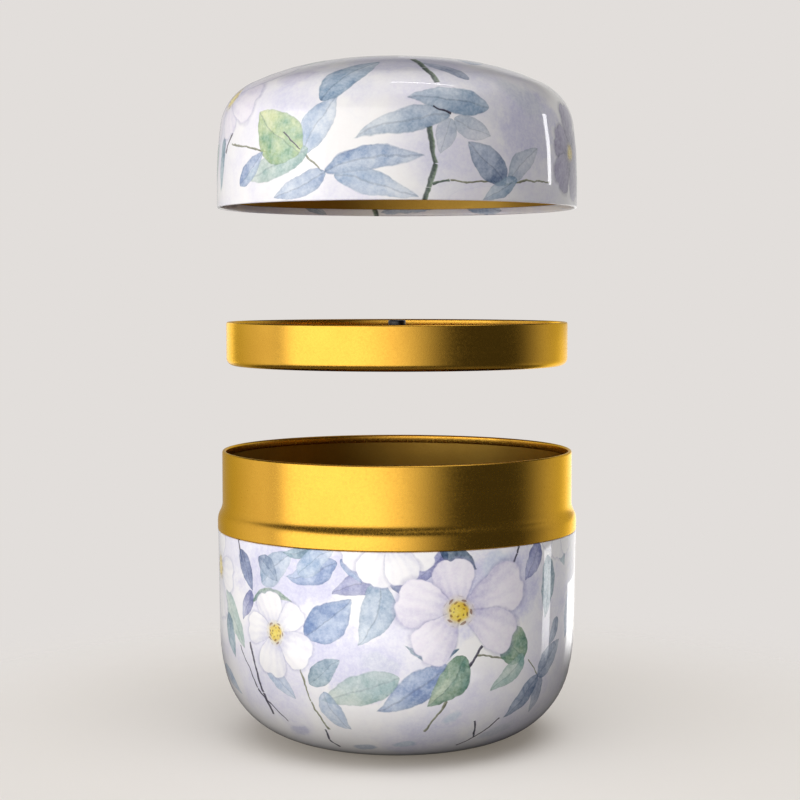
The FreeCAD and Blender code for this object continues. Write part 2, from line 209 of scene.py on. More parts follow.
def plug_section():
    """A shallow dish with a rolled rim and a stiffening rib, and the rivet's hole in its middle."""
    corner = PLUG_RADIUS - PLUG_CORNER, PLUG_CORNER
    under = [(RIVET_HOLE, 0)] + rib(0)[::-1]
    under += arc(corner, PLUG_CORNER, -90, 0, FOLD_STEP / 2)
    wall = PLUG_RADIUS - TINPLATE
    rim = rolled_rim(PLUG_RADIUS, PLUG_MOUTH_RADIUS, PLUG_RISE, PLUG_ROLL, wall)
    floor = arc(corner, PLUG_CORNER - TINPLATE, 0, -90, FOLD_STEP / 2)
    floor += rib(TINPLATE) + [(RIVET_HOLE, TINPLATE), (RIVET_HOLE, 0)]
    return [(FACE, under + rim + floor)]


def dome_section():
    """The dome, from the end of its hem up to the crown and back inside."""
    arcs = dome_arcs()
    fold = (DOME_RADIUS - HEM_RADIUS) / 2
    wall = DOME_RADIUS - TINPLATE
    tuck = (wall - HEM_RADIUS) / 2
    hem_end = arc((HEM_RADIUS + tuck, HEM_RISE - tuck), tuck, 0, 180, 2 * FOLD_STEP)
    hem = arc((DOME_RADIUS - fold, fold), fold, 180, 360, FOLD_STEP)
    outside = hem_end + hem + along_arcs(arcs)
    outside[-1] = 0, DOME_RISE
    inside = [outside[-1], (0, DOME_RISE - TINPLATE)]
    inside += along_arcs(arcs, TINPLATE)[::-1][1:] + hem_end[:1]
    return [(FACE, outside), (LINING, inside)]


def knob_section():
    """A wide foot, a thin waist and a head, with a bore for the rivet."""
    edge = KNOB_ROUND
    foot = arc((KNOB_FOOT - edge, KNOB_FOOT_RISE - edge), edge, 0, 90, FOLD_STEP)
    root = arc((KNOB_WAIST + edge, KNOB_FOOT_RISE + edge), edge, 270, 180, FOLD_STEP)
    head = arc((KNOB_HEAD - edge, KNOB_RISE - edge), edge, 0, 90, FOLD_STEP)
    outside = [(KNOB_BORE, 0), (KNOB_FOOT - KNOB_BEVEL, 0), (KNOB_FOOT, KNOB_BEVEL)]
    outside += foot + root
    outside += [(KNOB_WAIST, KNOB_WAIST_RISE), (KNOB_HEAD, KNOB_HEAD_RISE)] + head
    outside += [(0, KNOB_RISE), (0, KNOB_BORE_RISE), (KNOB_BORE, KNOB_BORE_RISE), (KNOB_BORE, 0)]
    return [(FACE, outside)]


def rivet_section():
    """A flat head, slightly hollow in the middle, and a straight shank."""
    edge = RIVET_ROUND
    head = arc((RIVET_HEAD - edge, edge), edge, -90, 0, FOLD_STEP)
    hollow = (0, RIVET_HOLLOW_RISE)
    outside = [hollow, (RIVET_HOLLOW / 2, RIVET_HOLLOW_RISE / 2), (RIVET_HOLLOW, 0)] + head
    outside += [(RIVET_HEAD, RIVET_HEAD_RISE), (RIVET_RADIUS, RIVET_HEAD_RISE)]
    outside += [(RIVET_RADIUS, RIVET_RISE), (0, RIVET_RISE), hollow]
    return [(FACE, outside)]


def turned(name, section, node, body, materials):
    """Revolves a section about the axis at its CAD node's height, and stands it for that node."""
    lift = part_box(node)[0].z
    mesh = bpy.data.meshes.new(name)
    shell = bmesh.new()
    rings = {}

    def ring_at(point):
        key = round(point[0], DECIMALS), round(point[1], DECIMALS)
        if key not in rings:
            radius, height = point[0] * MM, point[1] * MM + lift
            count = AROUND if point[0] > ON_AXIS else 1
            turns = [2 * math.pi * i / count for i in range(count)]
            rings[key] = [
                shell.verts.new((radius * math.sin(a), -radius * math.cos(a), height)) for a in turns
            ]
        return rings[key]

    for material_slot, points in section:
        for first, second in zip(points, points[1:]):
            low, high = ring_at(first), ring_at(second)
            if low is high or len(low) == len(high) == 1:
                continue
            for i in range(AROUND):
                j = (i + 1) % AROUND
                corners = [low[i % len(low)], low[j % len(low)]]
                corners += [high[j % len(high)], high[i % len(high)]]
                face = shell.faces.new(dict.fromkeys(corners))
                face.material_index = material_slot
                face.smooth = True
    bmesh.ops.recalc_face_normals(shell, faces=shell.faces)
    shell.to_mesh(mesh)
    shell.free()
    mesh.set_sharp_from_angle(angle=SHARP)
    for material in materials:
        mesh.materials.append(material)
    piece = bpy.data.objects.new(name, mesh)
    bpy.context.scene.collection.objects.link(piece)
    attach(piece, body)
    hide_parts(node)


# Node trees

def srgb(red, green, blue, alpha=1):
    """A colour given by its usual 0 to 255 values."""
    def linear(level):
        part = level / 255
        return part / 12.92 if part <= 0.04045 else ((part + 0.055) / 1.055) ** 2.4
    return linear(red), linear(green), linear(blue), alpha


MIX_SOCKETS, MIX_RESULT = (0, 6, 7), 2     # of a Mix node of colours: part, first and second


class Nodes:
    """Adds nodes to a tree. A given value is a socket or a constant."""

    def __init__(self, tree):
        self.tree = tree

    def add(self, kind, *given, **settings):
        node = self.tree.nodes.new(f"ShaderNode{kind}")
        for name, setting in settings.items():
            setattr(node, name, setting)
        for socket, value in zip(node.inputs, given):
            self.feed(socket, value)
        return node

    def feed(self, socket, value):
        if isinstance(value, bpy.types.NodeSocket):
            self.tree.links.new(value, socket)
        elif value is not None:
            socket.default_value = value

    def maths(self, operation, *given):
        return self.add("Math", *given, operation=operation).outputs[0]

    def times(self, first, second):
        return self.maths("MULTIPLY", first, second)

    def times_add(self, first, second, more):
        return self.maths("MULTIPLY_ADD", first, second, more)

    def length(self, x, y):
        """The distance of (x, y) from the origin."""
        return self.maths("SQRT", self.times_add(y, y, self.times(x, x)))

    def limited(self, value):
        """The value, but no less than 0 and no more than 1."""
        return self.maths("MINIMUM", self.maths("MAXIMUM", value, 0), 1)

    def vector(self, operation, *given):
        node = self.add("VectorMath", operation=operation)
        self.feed(node.inputs[0], given[0])
        self.feed(node.inputs["Scale" if operation == "SCALE" else 1], given[1])
        return node.outputs[0]

    def dot(self, first, second):
        return self.add("VectorMath", first, second, operation="DOT_PRODUCT").outputs["Value"]

    def place(self):
        """Where a point is on its piece."""
        return self.add("TexCoord").outputs["Object"]

    def split(self, vector):
        return self.add("SeparateXYZ", vector).outputs

    def step(self, value, low, high, first=0, last=1):
        """Goes smoothly from first to last as the value goes from low to high."""
        node = self.add(
            "MapRange", value, low, high, first, last, interpolation_type="SMOOTHSTEP", clamp=False
        )
        return node.outputs[0]

    def window(self, value, low, high, soft):
        """One between low and high, with soft edges outside them."""
        rise = self.step(value, low - soft, low)
        fall = self.step(value, high, high + soft, 1, 0)
        return self.times(rise, fall)

    def mix(self, part, first, second):
        node = self.add("Mix", data_type="RGBA")
        for socket, value in zip(MIX_SOCKETS, (part, first, second)):
            self.feed(node.inputs[socket], value)
        return node.outputs[MIX_RESULT]

    def noise(self, vector, scale, detail, roughness, output="Fac"):
        node = self.add("TexNoise", vector)
        node.inputs["Scale"].default_value = scale
        node.inputs["Detail"].default_value = detail
        node.inputs["Roughness"].default_value = roughness
        return node.outputs[output]

    def bump(self, height, strength, distance):
        """A normal from a height. The distance is in millimetres."""
        node = self.add("Bump")
        node.inputs["Strength"].default_value = strength
        node.inputs["Distance"].default_value = distance * MM
        self.feed(node.inputs["Height"], height)
        return node.outputs[0]


# Painted motifs. Each is a node group that paints over the colour below it. In its own
# coordinates, x runs from -1 at its tail to 1 at its tip, and y is across it.

SOFT_EDGE = 0.045     # how softly a leaf or a petal begins, in its own coordinates
ANTHER = srgb(128, 82, 50)
MOTIF_INPUTS = {
    "Place": "Vector", "Under": "Color", "Wash": "Float", "Along": "Vector", "Across": "Vector",
    "Start": "Float", "Side": "Float", "Light": "Color", "Deep": "Color", "Width": "Float",
    "Bend": "Float", "Strength": "Float",
}


def motif_group(name, paint):
    tree = bpy.data.node_groups.new(name, "ShaderNodeTree")
    for socket, kind in MOTIF_INPUTS.items():
        tree.interface.new_socket(socket, in_out="INPUT", socket_type=f"NodeSocket{kind}")
    tree.interface.new_socket("Painted", in_out="OUTPUT", socket_type="NodeSocketColor")
    nodes = Nodes(tree)
    given = tree.nodes.new("NodeGroupInput").outputs
    x = nodes.maths("SUBTRACT", nodes.dot(given["Place"], given["Along"]), given["Start"])
    y = nodes.maths("SUBTRACT", nodes.dot(given["Place"], given["Across"]), given["Side"])
    painted = paint(nodes, given, x, y)
    tree.links.new(painted, tree.nodes.new("NodeGroupOutput").inputs[0])
    return tree


def bowed(nodes, given, x, y):
    """The distance across from a middle line that bows sideways by Bend."""
    arch = nodes.maths("SUBTRACT", 1, nodes.times(x, x))
    return nodes.maths("SUBTRACT", y, nodes.times(arch, given["Bend"]))


def paint_leaf(nodes, given, x, y):
    """A leaf, darker on one half, with a dark outline, a midrib and slanting veins."""
    across = bowed(nodes, given, x, y)
    off = nodes.maths("ABSOLUTE", across)
    tail = nodes.maths("POWER", nodes.maths("ADD", x, 1), 0.6)
    tip = nodes.maths("POWER", nodes.maths("SUBTRACT", 1, x), 0.9)
    half_width = nodes.times(nodes.times(tail, tip), given["Width"])
    inside = nodes.maths("SUBTRACT", half_width, off)
    mask = nodes.step(inside, 0, SOFT_EDGE)
    tone = nodes.times_add(x, -0.3, -0.85)
    tone = nodes.times_add(nodes.step(across, -0.03, 0.03), 0.22, tone)
    tone = nodes.limited(nodes.times_add(given["Wash"], 2.5, tone))
    colour = nodes.mix(tone, given["Light"], given["Deep"])
    outline, rim = nodes.step(inside, 0.01, 0.07, 0.3, 0), nodes.step(inside, 0, 0.2, 0.22, 0)
    ink = nodes.maths("ADD", outline, rim)
    midrib = nodes.step(off, 0.008, 0.034, 0.5, 0)
    ink = nodes.maths("ADD", ink, midrib)
    slant = nodes.times_add(off, -7, nodes.times(x, 4.5))
    vein = nodes.step(nodes.maths("PINGPONG", slant, 0.5), 0, 0.07, 0.16, 0)
    ink = nodes.limited(nodes.maths("ADD", ink, vein))
    colour = nodes.mix(ink, colour, nodes.vector("SCALE", given["Deep"], 0.62))
    strength = nodes.times(mask, given["Strength"])
    strength = nodes.times(strength, nodes.times_add(tone, 0.25, 0.75))
    return nodes.mix(strength, given["Under"], colour)


def paint_petal(nodes, given, x, y):
    """A notched petal with fine streaks, over a soft shadow on what lies below it."""
    taper = nodes.maths("MAXIMUM", nodes.times_add(x, 0.40, 0.62), 0.1)
    across = nodes.maths("DIVIDE", y, nodes.times(taper, given["Width"]))
    notch = nodes.step(nodes.maths("ABSOLUTE", y), 0, 0.24, 0.09, 0)
    reach = nodes.maths("ADD", x, notch)
    inside = nodes.maths("SUBTRACT", 1, nodes.length(reach, across))
    shadow = nodes.times(nodes.step(inside, -0.14, 0.02, 0, 0.38), given["Strength"])
    under = nodes.mix(shadow, given["Under"], nodes.vector("SCALE", given["Deep"], 0.8))
    shade = nodes.times(nodes.step(x, -0.95, 0.2, 1.1, 0), given["Wash"])
    side = nodes.step(across, -0.2, 1, 0, 0.55)
    shade = nodes.times_add(side, given["Wash"], shade)
    fan = nodes.maths("DIVIDE", y, nodes.maths("ADD", x, 1.5))
    fan = nodes.times(fan, 30)
    streak = nodes.maths("SINE", nodes.times_add(given["Wash"], 7, fan))
    shade = nodes.times_add(streak, 0.06, shade)
    shade = nodes.limited(nodes.maths("ADD", shade, nodes.step(inside, 0, 0.08, 0.34, 0)))
    colour = nodes.mix(shade, given["Light"], given["Deep"])
    strength = nodes.times(nodes.step(inside, 0, SOFT_EDGE), given["Strength"])
    return nodes.mix(strength, under, colour)


def paint_core(nodes, given, x, y):
    """The yellow middle of a flower, with dark anthers around it."""
    away = nodes.length(x, y)
    glow = nodes.step(away, 0.6, 1.5, 0.45, 0)
    under = nodes.mix(glow, given["Under"], given["Light"])
    disc = nodes.step(away, 0.62, 1, 1, 0)
    deep = nodes.times_add(given["Wash"], 3, nodes.maths("SUBTRACT", away, 1.6))
    deep = nodes.limited(deep)
    painted = nodes.mix(disc, under, nodes.mix(deep, given["Light"], given["Deep"]))
    around = nodes.times(nodes.maths("ARCTAN2", y, x), 5.5)
    around = nodes.maths("SINE", nodes.times_add(away, 5, around))
    dot = nodes.times(around, nodes.maths("SINE", nodes.times(away, 11)))
    ring = nodes.window(away, 0.5, 1.1, 0.2)
    dot = nodes.times(nodes.step(dot, 0.3, 0.65, 0, 0.7), ring)
    return nodes.mix(dot, painted, ANTHER)


def paint_stem(nodes, given, x, y):
    """A line with an uneven edge, lighter along one side."""
    across = bowed(nodes, given, x, y)
    across = nodes.maths("DIVIDE", across, given["Width"])
    inside = nodes.maths("SUBTRACT", 0.4, nodes.maths("ABSOLUTE", across))
    mask = nodes.step(nodes.times_add(given["Wash"], 1.2, inside), 0, 0.5)
    mask = nodes.times(mask, nodes.step(nodes.maths("ABSOLUTE", x), 0.96, 1, 1, 0))
    lit = nodes.step(across, -0.3, 0.7)
    colour = nodes.mix(lit, given["Deep"], given["Light"])
    return nodes.mix(nodes.times(mask, given["Strength"]), given["Under"], colour)


def paint_blot(nodes, given, x, y):
    """A loose wash of thin colour with a faint darker edge."""
    across = nodes.maths("DIVIDE", y, given["Width"])
    inside = nodes.maths("SUBTRACT", 0.3, nodes.length(x, across))
    inside = nodes.times_add(given["Wash"], 1.4, inside)
    edge = nodes.window(inside, 0.08, 0.10, 0.08)
    colour = nodes.mix(edge, given["Light"], given["Deep"])
    strength = nodes.times(nodes.step(inside, 0, 0.45), given["Strength"])
    return nodes.mix(strength, given["Under"], colour)


MOTIFS = {
    "leaf": motif_group("painted_leaf", paint_leaf),
    "petal": motif_group("painted_petal", paint_petal),
    "core": motif_group("painted_core", paint_core),
    "stem": motif_group("painted_stem", paint_stem),
    "blot": motif_group("painted_blot", paint_blot),
}

# Paints: a light and a deep tone of each, set by the colours of the photo's print.
PAINTS = {
    "blue": ((186, 204, 228), (108, 138, 188)),
    "soft_blue": ((202, 215, 231), (136, 162, 200)),
    "pale_blue": ((214, 224, 237), (158, 182, 212)),
    "slate": ((176, 191, 212), (104, 126, 160)),
    "teal": ((168, 196, 206), (88, 128, 150)),
    "dark_teal": ((62, 102, 130), (24, 58, 92)),
    "navy": ((98, 126, 176), (50, 76, 130)),
    "violet": ((172, 176, 214), (104, 112, 168)),
    "green": ((186, 204, 168), (108, 148, 134)),
    "lime": ((228, 234, 166), (148, 184, 156)),
    "pale_green": ((206, 220, 208), (146, 182, 178)),
    "grey_blue": ((204, 217, 230), (146, 170, 196)),
    "faint": ((216, 220, 230), (182, 194, 210)),
    "white": ((252, 250, 251), (188, 188, 218)),
    "lilac": ((246, 241, 249), (180, 176, 212)),
    "mauve": ((206, 200, 224), (136, 130, 172)),
    "haze": ((218, 217, 239), (200, 202, 229)),
    "plum": ((172, 166, 196), (92, 88, 126)),
    "yellow": ((246, 230, 128), (222, 186, 66)),
    "bark": ((104, 98, 118), (46, 42, 64)),
    "olive": ((170, 172, 150), (128, 128, 108)),
    "moss": ((128, 146, 124), (76, 92, 84)),
}
TONES = {name: (srgb(*light), srgb(*deep)) for name, (light, deep) in PAINTS.items()}

# One motif of the print. It lies around the piece as a whole ("whole"), or it is painted
# on the front or on the right side and repeated half a turn on. A spot is an azimuth in
# degrees, 0 in front and rising to the right, and a distance in millimetres along the
# sheet from its open edge.
Motif = namedtuple("Motif", "kind fold tail tip width bend tone strength")


def leaf(fold, tail, tip, width, bend, tone, strength=0.92):
    return [Motif("leaf", fold, tail, tip, width, bend, tone, strength)]


def stem(fold, tone, thickness, *spots):
    """A stem through several spots. Its thickness is in millimetres."""
    spans = zip(spots, spots[1:])
    return [Motif("stem", fold, tail, tip, thickness, 0, tone, 0.95) for tail, tip in spans]


def blot(fold, tail, tip, width, tone, strength=0.5):
    return [Motif("blot", fold, tail, tip, width, 0, tone, strength)]


def flower(fold, spot, radius, petals, tone, core):
    """Petals around a spot at this radius: direction in degrees, length in millimetres, width."""
    parts = []
    per_degree = math.radians(radius)
    for direction, length, width in petals:
        turn = math.radians(direction)
        tip = spot[0] + length * math.cos(turn) / per_degree, spot[1], length * math.sin(turn)
        parts.append(Motif("petal", fold, spot, tip, width, 0, tone, 0.97))
    if core:
        west = spot[0] - core / per_degree, spot[1]
        east = spot[0] + core / per_degree, spot[1]
        parts.append(Motif("core", fold, west, east, 1, 0, "yellow", 1))
    return parts


def many(kind, fold, rows):
    """The same kind of motif, many times on one side, in the order of its rows."""
    return [motif for row in rows for motif in kind(fold, *row)]


PAPER, PAPER_TINT = srgb(253, 251, 251), srgb(238, 236, 248)
BLOOM = srgb(218, 219, 238)
WOBBLE = 1.9 * MM     # how far the painted edges stray
STEM_THINNING = 0.8   # the part of a stem's thickness that its line is drawn with


class Surface:
    """The outside of a turned piece, on which the print is laid out."""

    def __init__(self, points, lift, upwards):
        self.points = points
        self.lift = lift
        self.upwards = upwards

    def spot(self, azimuth, along, climb=0):
        """The place and the outward direction of a spot. climb goes up from it along the sheet."""
        left = along + climb if self.upwards else along - climb
        for first, second in zip(self.points, self.points[1:]):
            step = math.dist(first, second)
            if left <= step or second is self.points[-1]:
                break
            left -= step
        radius = first[0] + (second[0] - first[0]) * left / step
        height = first[1] + (second[1] - first[1]) * left / step
        rise, run = (second[1] - first[1]) / step, (second[0] - first[0]) / step
        tilt = -run if self.upwards else run
        face = abs(rise)
        turn = math.radians(azimuth)
        across, forward = math.sin(turn), -math.cos(turn)
        place = Vector((radius * across, radius * forward, height)) * MM
        place.z += self.lift
        return place, Vector((face * across, face * forward, tilt))


def laid(surface, motif):
    """A motif's middle, the directions of its own x and y, and half its length."""
    (tail, tail_out), (tip, tip_out) = surface.spot(*motif.tail), surface.spot(*motif.tip)
    out = (tail_out + tip_out).normalized()
    along = tip - tail
    along -= out * along.dot(out)
    half = along.length / 2
    along.normalize()
    return (tail + tip) / 2, along, out.cross(along), half


def folded(nodes, place, fold):
    """The place, or for a repeated motif the same place on the side where it is laid out."""
    if fold == "whole":
        return place
    x, y, z = nodes.split(place)
    if fold == "front":
        near = nodes.maths("LESS_THAN", y, 0)
    else:
        near = nodes.maths("GREATER_THAN", x, 0)
    sign = nodes.times_add(near, 2, -1)
    return nodes.add("CombineXYZ", nodes.times(x, sign), nodes.times(y, sign), z).outputs[0]


def painted(nodes, surface, motifs):
    """The colour of the print, tinted paper and then the motifs in order; its place and grain."""
    place = nodes.place()
    wash = nodes.noise(place, 210, 4, 0.6)
    grain = nodes.noise(place, 1900, 2, 0.6)
    wobble = nodes.noise(place, 170, 3, 0.62, "Color")
    wobble = nodes.vector("SCALE", nodes.vector("SUBTRACT", wobble, (0.5, 0.5, 0.5)), WOBBLE)
    places = {
        fold: nodes.vector("ADD", folded(nodes, place, fold), wobble)
        for fold in ("front", "side", "whole")
    }
    tint = nodes.noise(place, 62, 3, 0.55)
    colour = nodes.mix(nodes.step(tint, 0.40, 0.66), PAPER, PAPER_TINT)
    bloom = nodes.step(nodes.noise(place, 95, 4, 0.6), 0.46, 0.72)
    colour = nodes.mix(nodes.times(bloom, 0.4), colour, BLOOM)
    for motif in motifs:
        middle, along, across, half = laid(surface, motif)
        light, deep = TONES[motif.tone]
        width = motif.width
        if motif.kind == "stem":
            width = width * STEM_THINNING * MM / half
        group = nodes.add("Group", node_tree=MOTIFS[motif.kind])
        values = {
            "Place": places[motif.fold], "Under": colour, "Wash": wash, "Along": along / half,
            "Across": across / half, "Start": middle.dot(along) / half,
            "Side": middle.dot(across) / half, "Light": light, "Deep": deep, "Width": width,
            "Bend": motif.bend, "Strength": motif.strength,
        }
        for name, value in values.items():
            nodes.feed(group.inputs[name], value)
        colour = group.outputs[0]
    pool = nodes.step(nodes.noise(place, 560, 5, 0.7), 0.32, 0.68, 0.9, 1.32)
    speck = nodes.step(grain, 0.3, 0.7, 0.86, 1.16)
    colour = nodes.add("Gamma", colour, nodes.times(pool, speck)).outputs[0]
    return colour, place, grain


def new_material(name):
    material = bpy.data.materials.new(name)
    material.use_nodes = True
    material.node_tree.nodes.clear()
    return material, Nodes(material.node_tree)


def finish_material(material, nodes, shader):
    output = nodes.add("OutputMaterial")
    material.node_tree.links.new(shader.outputs[0], output.inputs["Surface"])
    return material


def printed_tin(name, surface, motifs):
    """Paint printed on tinplate under a clear gloss lacquer."""
    material, nodes = new_material(name)
    colour, place, grain = painted(nodes, surface, motifs)
    shader = nodes.add("BsdfPrincipled")
    nodes.feed(shader.inputs["Base Color"], colour)
    nodes.feed(shader.inputs["Roughness"], nodes.step(grain, 0.3, 0.7, 0.42, 0.55))
    shader.inputs["Specular IOR Level"].default_value = 0.3
    shader.inputs["Coat Weight"].default_value = 1
    shader.inputs["Coat Roughness"].default_value = 0.035
    shader.inputs["Coat IOR"].default_value = 1.5
    ripple = nodes.noise(place, 260, 2, 0.5)
    normal = nodes.bump(ripple, strength=0.12, distance=0.03)
    nodes.feed(shader.inputs["Normal"], normal)
    nodes.feed(shader.inputs["Coat Normal"], normal)
    return finish_material(material, nodes, shader)


def gold_lacquer(name, light, deep, roughness):
    """Gold lacquer on tinplate: satin, with a fine grain and faint turning lines."""
    material, nodes = new_material(name)
    place = nodes.place()
    cloud = nodes.noise(place, 55, 4, 0.6)
    grain = nodes.noise(place, 2600, 3, 0.7)
    x, y, z = nodes.split(place)
    section = nodes.add("CombineXYZ", nodes.length(x, y), 0, z).outputs[0]
    lines = nodes.noise(section, 1500, 2, 0.6)
    tone = nodes.times_add(cloud, 0.7, nodes.times(grain, 0.3))
    shader = nodes.add("BsdfPrincipled")
    nodes.feed(shader.inputs["Base Color"], nodes.mix(nodes.step(tone, 0.35, 0.65), light, deep))
    shader.inputs["Metallic"].default_value = 1
    shader.inputs["Specular Tint"].default_value = GOLD_EDGE
    satin = nodes.times_add(lines, 0.2, nodes.times(grain, 0.8))
    satin = nodes.step(satin, 0.3, 0.7, roughness - 0.05, roughness + 0.08)
    nodes.feed(shader.inputs["Roughness"], satin)
    relief = nodes.times_add(lines, 0.08, grain)
    nodes.feed(shader.inputs["Normal"], nodes.bump(relief, strength=0.5, distance=0.012))
    return finish_material(material, nodes, shader)


def black_plastic():
    """Moulded gloss plastic, with faint flow marks and finger marks."""
    material, nodes = new_material("black_plastic")
    place = nodes.place()
    flow = nodes.noise(place, 420, 3, 0.6)
    smear = nodes.noise(place, 1500, 4, 0.65)
    shader = nodes.add("BsdfPrincipled")
    nodes.feed(shader.inputs["Base Color"], nodes.mix(flow, srgb(12, 12, 13), srgb(26, 25, 27)))
    nodes.feed(shader.inputs["Roughness"], nodes.step(smear, 0.3, 0.7, 0.16, 0.34))
    nodes.feed(shader.inputs["Normal"], nodes.bump(smear, strength=0.2, distance=0.02))
    return finish_material(material, nodes, shader)


def rivet_steel():
    """Bright plated steel, pressed and slightly scuffed."""
    material, nodes = new_material("rivet_steel")
    place = nodes.place()
    scuff = nodes.noise(place, 1800, 5, 0.7)
    dull = nodes.noise(place, 350, 3, 0.6)
    shader = nodes.add("BsdfPrincipled")
    nodes.feed(shader.inputs["Base Color"], nodes.mix(dull, srgb(196, 194, 190), srgb(150, 148, 146)))
    shader.inputs["Metallic"].default_value = 1
    nodes.feed(shader.inputs["Roughness"], nodes.step(scuff, 0.3, 0.7, 0.22, 0.42))
    nodes.feed(shader.inputs["Normal"], nodes.bump(scuff, strength=0.3, distance=0.02))
    return finish_material(material, nodes, shader)


# The bowl's print, from the washes at the back to the flowers in front. On the photo's
# side its layout was measured on the photo, then rounded and adjusted.
BOWL_PRINT = many(blot, "front", [
    ((-62, 6), (-4, 3), 0.4, "haze", 0.9),
    ((-10, 6), (58, 8), 0.45, "haze", 0.9),
])
BOWL_PRINT += blot("side", (58, 10), (100, 12), 0.6, "haze", 0.8)
BOWL_PRINT += many(blot, "front", [
    ((-34, 16), (8, 23), 0.5, "haze", 0.85),
    ((24, 3.5), (38, 1.5), 0.6, "pale_blue"),
    ((-12, 18), (2, 21), 0.5, "faint"),
    ((-40, 35), (-31, 33.5), 0.6, "violet", 0.35),
    ((-17, 38), (-7, 37.5), 0.5, "slate", 0.6),
    ((14, 31), (22, 28.5), 0.5, "pale_blue", 0.7),
    ((-2, 37), (8, 35.5), 0.4, "grey_blue", 0.7),
    ((30, 36), (44, 33), 0.5, "faint", 0.6),
])
BOWL_PRINT += blot("side", (68, 28), (82, 26), 0.6, "faint")
BOWL_PRINT += many(stem, "front", [
    ("bark", 0.42, (-51.5, 18), (-46.5, 27), (-45.5, 31.5)),
    ("bark", 0.25, (-57.5, 19), (-49, 26.5), (-38.5, 32.5)),
    ("olive", 0.28, (-30.5, 20.5), (-27, 27), (-22.5, 33)),
    ("bark", 0.35, (-24, 33), (-24.5, 36), (-22.5, 38.5)),
    ("olive", 0.38, (9, 32.5), (16, 26.5)),
    ("bark", 0.45, (22, 20.5), (26, 16.8)),
    ("olive", 0.28, (24.5, 18.4), (39.5, 20)),
    ("bark", 0.32, (26, 31), (28, 35.5)),
    ("bark", 0.3, (23, 38), (36, 31)),
    ("bark", 0.3, (36, 4), (38.5, 1.5), (39.5, -1)),
    ("olive", 0.2, (44.5, 20.5), (49, 24.5)),
    ("bark", 0.35, (-57, 0), (-55.5, 4)),
])
BOWL_PRINT += many(leaf, "front", [
    ((-45, 6.8), (-33, 0.8), 0.55, 0.05, "grey_blue"),
    ((-18, 2.2), (-35, 5.2), 0.42, 0.12, "blue"),
    ((-25, -0.6), (-37, 1.2), 0.3, 0.1, "teal"),
    ((-31, 4.4), (-19, -0.6), 0.5, 0, "pale_blue"),
    ((-46, 2), (-38, 6.2), 0.5, 0, "slate"),
    ((5, 7.2), (-4.5, 3.2), 0.42, 0, "navy"),
    ((-56, 1.5), (-49.5, 8.5), 0.46, 0, "navy"),
    ((-50, 8.5), (-55.5, 14.5), 0.42, 0, "violet"),
    ((-50, 10.4), (-32, 10), 0.2, 0.36, "green"),
    ((-28, 15.5), (-13.5, 8.2), 0.62, -0.08, "blue", 1),
    ((-3, 4.6), (-19.5, 7.4), 0.42, -0.12, "violet"),
    ((-5.5, 4.6), (-12, 16), 0.52, 0.30, "grey_blue", 1),
    ((-17, 1.6), (-10, 5.2), 0.35, 0, "blue"),
    ((15, 0.3), (4.2, 4.8), 0.42, 0.1, "violet", 1),
    ((13, -0.8), (24, 3.4), 0.5, 0, "dark_teal", 1),
    ((18.5, 17.2), (1.5, 16), 0.2, 0.32, "teal"),
    ((1, 22.3), (-24, 26.8), 0.38, -0.06, "pale_green", 0.8),
    ((-23, 25), (-14.5, 32.5), 0.42, -0.15, "pale_blue", 0.8),
    ((15, 19.6), (-7, 28.4), 0.36, 0.08, "blue"),
    ((21, 18.4), (9.5, 27.4), 0.52, 0.12, "green", 1),
    ((-43.5, 22), (-33, 27), 0.42, 0.1, "pale_blue"),
    ((-27.5, 23.8), (-17.2, 18.8), 0.52, 0, "teal", 0.85),
    ((-68, 9.5), (-54.5, 19.5), 0.36, 0, "pale_green"),
    ((-67, 14.5), (-62, 19), 0.45, 0, "violet"),
    ((42.5, 20.2), (32.5, 13.6), 0.74, 0.08, "green", 1),
    ((42.5, 19.5), (29.5, 25.2), 0.4, 0.08, "pale_green"),
    ((49, 24), (37, 31.2), 0.38, 0.08, "slate"),
    ((49, 24.5), (61, 18.2), 0.46, 0.05, "slate"),
    ((51, 24.5), (50, 31.5), 0.42, 0, "slate", 0.7),
    ((49, -0.2), (42.5, 6.5), 0.46, 0, "violet"),
    ((53, 2), (52, 14), 0.36, 0.1, "teal"),
])
BOWL_PRINT += many(leaf, "side", [
    ((60, 14), (54.5, 19), 0.42, 0, "slate"),
    ((60, 0.5), (65, 5.5), 0.5, 0, "teal"),
    ((70, 10), (66, 19), 0.4, 0.1, "blue"),
    ((96, 12), (88, 21), 0.5, 0.1, "grey_blue"),
    ((113, 14), (119, 22), 0.42, 0, "teal"),
    ((97, 26), (84, 31), 0.4, 0, "pale_green"),
    ((104, 25), (118, 29), 0.36, 0.1, "pale_blue"),
    ((92, 0.5), (86, 7), 0.45, 0, "navy"),
])
BOWL_PRINT += many(flower, "front", [
    ((-2, -2.2), 33.8,
     [(200, 9.5, 1), (-22, 9, 1), (245, 8.6, 1.15), (292, 8.2, 1.1)], "white", 0),
    ((-39.5, 15.4), 33.7,
     [(108, 7.8, 1.15), (40, 7.4, 1), (178, 7.6, 1.1), (-28, 8.6, 1.1),
      (-100, 8.2, 1.15)], "white", 1.7),
    ((18.5, 10.6), 33.8,
     [(22, 14.5, 0.9), (-26, 13, 0.85), (100, 9.4, 1.2), (166, 11.6, 1.05),
      (228, 10.6, 1.1)], "lilac", 2.3),
])
